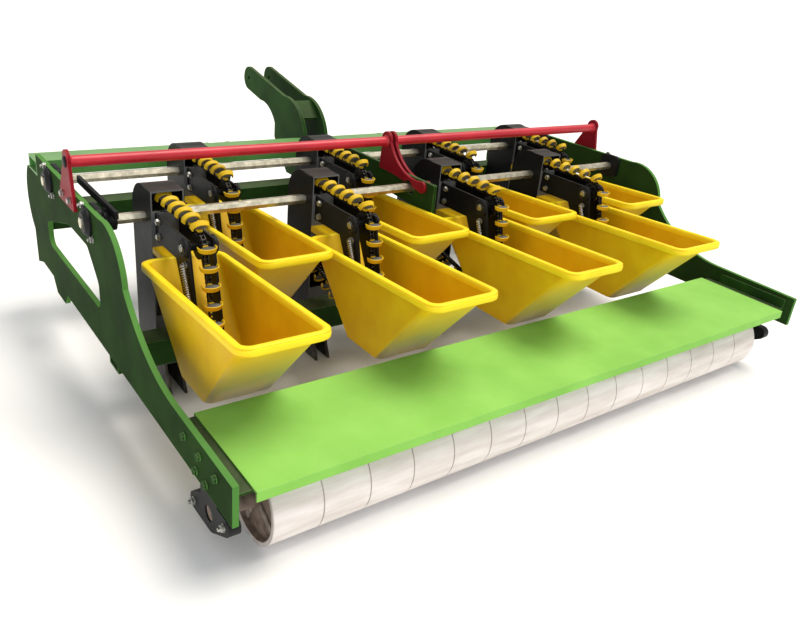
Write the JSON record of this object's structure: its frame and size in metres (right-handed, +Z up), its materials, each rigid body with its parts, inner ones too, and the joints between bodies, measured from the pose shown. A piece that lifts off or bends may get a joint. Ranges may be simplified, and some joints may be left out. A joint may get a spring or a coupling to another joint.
{
  "type": "garlic planter",
  "caption": "Tractor-mounted garlic planter: cup chains lift cloves from yellow hoppers into drop tubes, in a green frame with a rear press roller and footboard.",
  "frame": {"origin": "on the floor, at the middle of the machine's plan", "axes": "+Y the way the planter travels, +X its right side, +Z up"},
  "size_m": [2.264, 2.185, 0.785],
  "materials": {
    "dark_green_paint": "satin",
    "light_green_paint": "satin",
    "red_paint": "gloss",
    "bright_steel": "satin",
    "black_casting": "satin",
    "white_roller": "matt",
    "yellow_plastic": "gloss",
    "black_paint": "gloss",
    "dark_steel": "oiled",
    "yellow_cup_plastic": "gloss",
    "opener_steel": "worn"
  },
  "bodies": {
    "frame": {"board_bracket_left": "dark_green_paint", "board_bracket_right": "dark_green_paint", "centre_plate": "dark_green_paint", "cup_chains_front": "yellow_cup_plastic", "cup_chains_rear": "yellow_cup_plastic", "drive_shaft_front": "bright_steel", "drive_shaft_rear": "bright_steel", "drop_tube_front_1": "black_paint", "drop_tube_front_2": "black_paint", "drop_tube_front_3": "black_paint", "drop_tube_front_4": "black_paint", "drop_tube_rear_1": "black_paint", "drop_tube_rear_2": "black_paint", "drop_tube_rear_3": "black_paint", "drop_tube_rear_4": "black_paint", "footboard": "light_green_paint", "front_beam": "light_green_paint", "furrow_openers_front": "opener_steel", "furrow_openers_rear": "opener_steel", "guard_arm_left": "red_paint", "guard_arm_right": "red_paint", "guard_foot_left": "red_paint", "guard_foot_right": "red_paint", "guard_tube_left": "red_paint", "guard_tube_right": "red_paint", "hitch_mast": "dark_green_paint", "hopper_front_1": "yellow_plastic", "hopper_front_2": "yellow_plastic", "hopper_front_3": "yellow_plastic", "hopper_front_4": "yellow_plastic", "hopper_rear_1": "yellow_plastic", "hopper_rear_2": "yellow_plastic", "hopper_rear_3": "yellow_plastic", "hopper_rear_4": "yellow_plastic", "lower_hitch_left": "dark_green_paint", "lower_hitch_right": "dark_green_paint", "rear_tie_tube": "dark_green_paint", "roller_bearing_left": "black_casting", "roller_bearing_right": "black_casting", "shaft_bearings_front": "black_casting", "shaft_bearings_rear": "black_casting", "side_plate_left": "dark_green_paint", "side_plate_right": "dark_green_paint", "sprockets_front": "dark_steel", "sprockets_rear": "dark_steel", "toolbar_front": "dark_green_paint", "toolbar_rear": "dark_green_paint", "unit_cheeks_front": "black_paint", "unit_cheeks_rear": "black_paint"},
    "roller": {"press_roller": "white_roller"}
  },
  "joints": [
    {"name": "roller_spin", "type": "hinge", "parent": "frame", "child": "roller", "pos_m": [0, -0.9325, 0.115], "axis": [1, 0, 0], "continuous": true}
  ]
}
